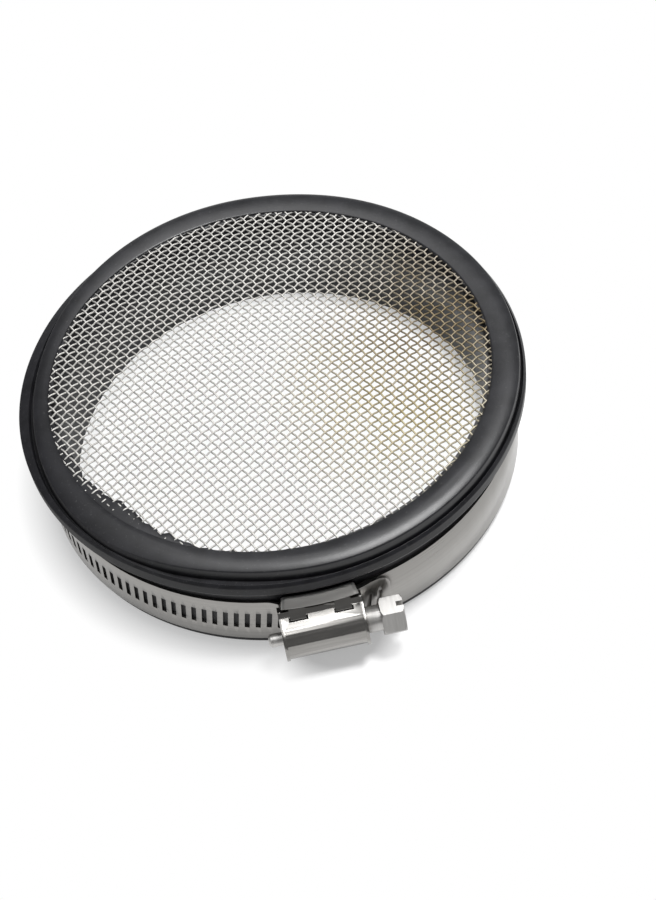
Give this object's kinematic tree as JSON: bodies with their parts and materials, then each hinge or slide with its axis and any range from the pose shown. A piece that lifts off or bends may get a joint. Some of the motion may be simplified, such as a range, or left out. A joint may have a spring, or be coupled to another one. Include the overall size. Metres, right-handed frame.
{
  "type": "turbo intake screen",
  "caption": "Crowned woven wire screen moulded into a black rubber collar, held on a round inlet by a worm-drive band clamp.",
  "frame": {"origin": "centre of the inlet bore at the collar's bottom face", "axes": "+Z along the bore from its mouth to the screen; the clamp's screw lies along X on the -Y side, head to +X"},
  "size_m": [0.12, 0.1271, 0.0311],
  "materials": {
    "rubber": "satin moulded black rubber",
    "wire_cloth": "woven stainless wire, lightly stained on one side",
    "band_steel": "rolled stainless strip, satin along its length",
    "clamp_steel": "bright stamped stainless",
    "screw_steel": "bright, with a headed hexagon"
  },
  "bodies": {
    "collar": {"rubber_collar": "rubber", "wire_screen": "wire_cloth", "clamp_band": "band_steel", "saddle_plate": "clamp_steel", "screw_housing": "clamp_steel"},
    "screw": {"worm_screw": "screw_steel"}
  },
  "joints": [
    {"name": "screw_turn", "type": "hinge", "parent": "collar", "child": "screw", "pos_m": [0, -0.0618, 0.0095], "axis": [1, 0, 0], "continuous": true}
  ]
}
